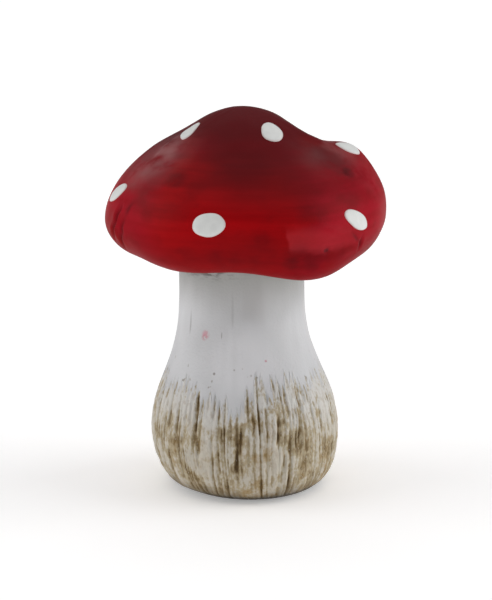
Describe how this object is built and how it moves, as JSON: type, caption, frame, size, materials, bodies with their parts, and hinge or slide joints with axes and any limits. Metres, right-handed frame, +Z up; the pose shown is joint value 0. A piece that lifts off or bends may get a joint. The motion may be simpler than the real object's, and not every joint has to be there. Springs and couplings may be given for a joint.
{
  "type": "amanita mushroom ornament",
  "caption": "Free-standing painted clay toadstool: a domed cap with raised spots on a bulbous stem scored with upright strokes, hollow inside.",
  "frame": {"origin": "centre of the foot on the surface that the ornament stands on, at the bottom centre of the bounding box", "axes": "+Z up along the stem, -Y towards the viewer in the picture, +X to the viewer's right"},
  "size_m": [0.1452, 0.1456, 0.1999],
  "materials": {
    "stem_paint": "matt off-white paint over fired clay, with brown wash rubbed into the strokes",
    "cap_paint": "satin red paint over fired clay, darkened with a maroon wash towards the crown",
    "spot_paint": "thick white acrylic paint dabs with a soft sheen"
  },
  "bodies": {
    "root": {"stem": "stem_paint", "cap": "cap_paint", "spot_01": "spot_paint", "spot_02": "spot_paint", "spot_03": "spot_paint", "spot_04": "spot_paint", "spot_05": "spot_paint", "spot_06": "spot_paint", "spot_07": "spot_paint", "spot_08": "spot_paint", "spot_09": "spot_paint", "spot_10": "spot_paint", "spot_11": "spot_paint", "spot_12": "spot_paint"}
  },
  "joints": []
}
